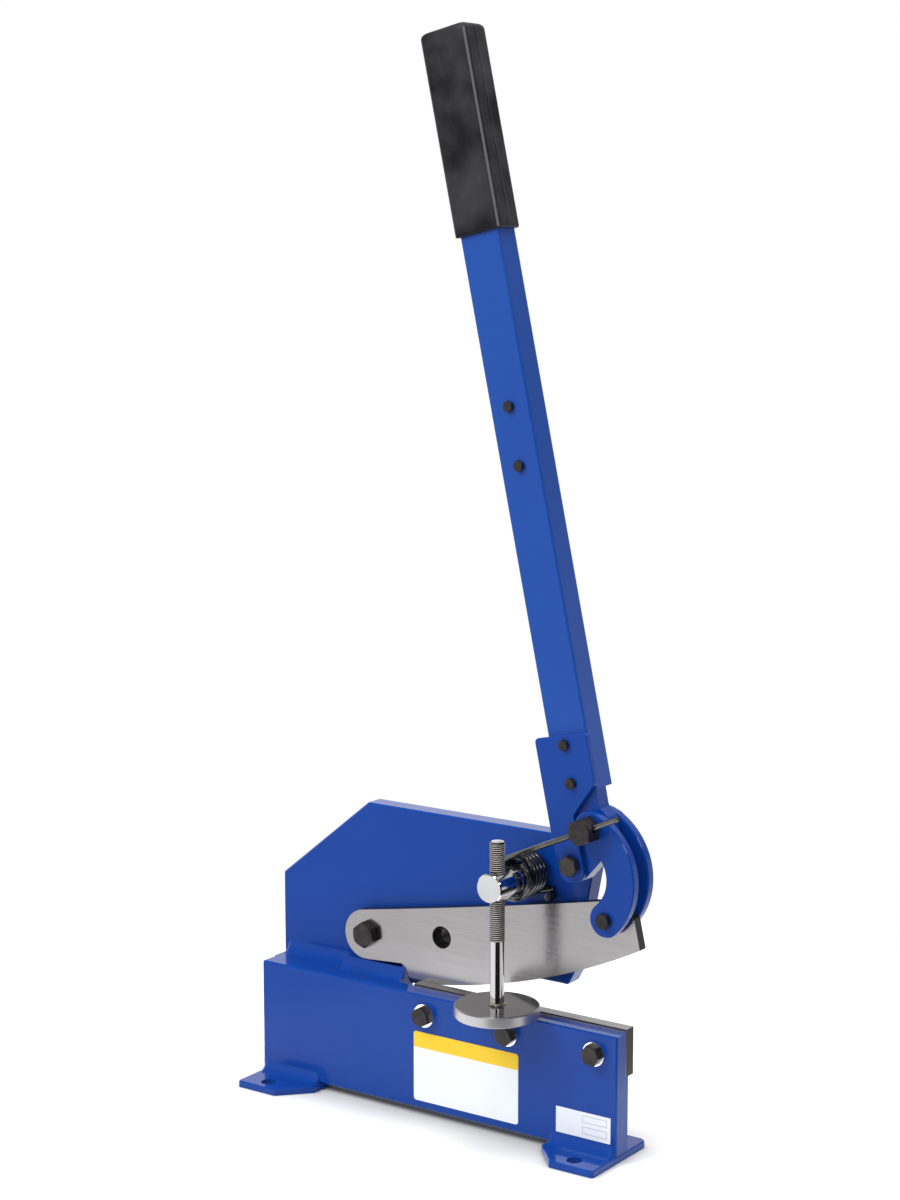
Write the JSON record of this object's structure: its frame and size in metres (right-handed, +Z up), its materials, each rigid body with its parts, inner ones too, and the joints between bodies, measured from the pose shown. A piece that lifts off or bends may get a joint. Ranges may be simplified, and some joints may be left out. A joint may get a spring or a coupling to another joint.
{
  "type": "bench shear",
  "caption": "Hand lever sheet metal shear with bowed pivoted upper blade, fixed bolted lower blade, C-shaped links, torsion spring and threaded hold-down disc",
  "frame": {"origin": "centre of the four bench bolt holes, on the underside of the feet", "axes": "+Z up from the bench, +X along the frame towards the lever end, +Y from the front plate to the back plate"},
  "size_m": [0.3187, 0.0994, 0.7695],
  "materials": {
    "blue_paint": "glossy royal blue enamel",
    "handle_paint": "glossy royal blue enamel",
    "blade_steel": "ground and brushed",
    "black_bolt": "black oxide",
    "zinc": "bright zinc",
    "spring_wire": "oiled dark spring wire",
    "bright_bar": "bright drawn bar",
    "bright_rod": "bright zinc, threaded above",
    "disc_steel": "turned",
    "grip_black": "semi-matt moulded"
  },
  "bodies": {
    "frame": {"front_plate": "blue_paint", "back_plate": "blue_paint", "joining_block": "blue_paint", "shelf_weld": "blue_paint", "foot_left": "blue_paint", "foot_right": "blue_paint", "foot_weld_left": "blue_paint", "foot_weld_right": "blue_paint", "lower_blade": "blade_steel", "lower_blade_bolts": "black_bolt", "lower_blade_washers": "zinc", "blade_pivot_bolt": "black_bolt", "blade_pivot_washer": "zinc", "blade_pivot_nut": "black_bolt", "lever_pivot_bolt": "black_bolt", "lever_pivot_nut": "black_bolt", "spring_coil": "spring_wire", "spring_stop_pin": "spring_wire", "hold_down_stub": "bright_bar"},
    "lever": {"lever_cheek": "blue_paint", "lever_neck": "blue_paint", "handle_lower_tube": "handle_paint", "handle_upper_tube": "handle_paint", "handle_sleeve": "handle_paint", "handle_bolts": "black_bolt", "handle_nuts": "black_bolt", "cheek_bolts": "black_bolt", "cheek_nuts": "black_bolt", "handle_grip": "grip_black"},
    "link": {"link_front": "blue_paint", "link_rear": "blue_paint", "link_bolt": "black_bolt", "link_nut": "black_bolt"},
    "blade": {"upper_blade": "blade_steel", "blade_link_pin": "black_bolt"},
    "spring_leg": {"spring_arm": "spring_wire"},
    "spring_swivel": {"spring_bolt": "black_bolt"},
    "hold_down": {"hold_down_rod": "bright_rod", "hold_down_disc": "disc_steel"}
  },
  "joints": [
    {"name": "lever_pivot", "type": "hinge", "parent": "frame", "child": "lever", "pos_m": [0.1081, 0.021, 0.1998], "axis": [0, 1, 0], "range_deg": [0, 100]},
    {"name": "blade_pivot", "type": "hinge", "parent": "frame", "child": "blade", "pos_m": [-0.0726, 0.0223, 0.1191], "axis": [0, 1, 0], "range_deg": [0, 13.4]},
    {"name": "link_pivot", "type": "hinge", "parent": "lever", "child": "link", "pos_m": [0.12415, 0.021, 0.22807], "axis": [0, 1, 0], "range_deg": [-96.6, 0]},
    {"name": "spring_leg_turn", "type": "hinge", "parent": "frame", "child": "spring_leg", "pos_m": [0.066, 0, 0.1862], "axis": [0, 1, 0], "range_deg": [0, 42.6]},
    {"name": "spring_bolt_swivel", "type": "hinge", "parent": "lever", "child": "spring_swivel", "pos_m": [0.12415, 0, 0.22807], "axis": [0, 1, 0], "range_deg": [-57.6, 0]},
    {"name": "hold_down_screw", "type": "slide", "parent": "frame", "child": "hold_down", "axis": [0, 0, 1], "range_m": [0, 0.028]}
  ],
  "couplings": [
    {"joint": "blade_pivot", "follows": "lever_pivot", "ratio": 0.13336},
    {"joint": "link_pivot", "follows": "lever_pivot", "ratio": -0.96487},
    {"joint": "spring_leg_turn", "follows": "lever_pivot", "ratio": 0.42519},
    {"joint": "spring_bolt_swivel", "follows": "lever_pivot", "ratio": -0.57481}
  ]
}
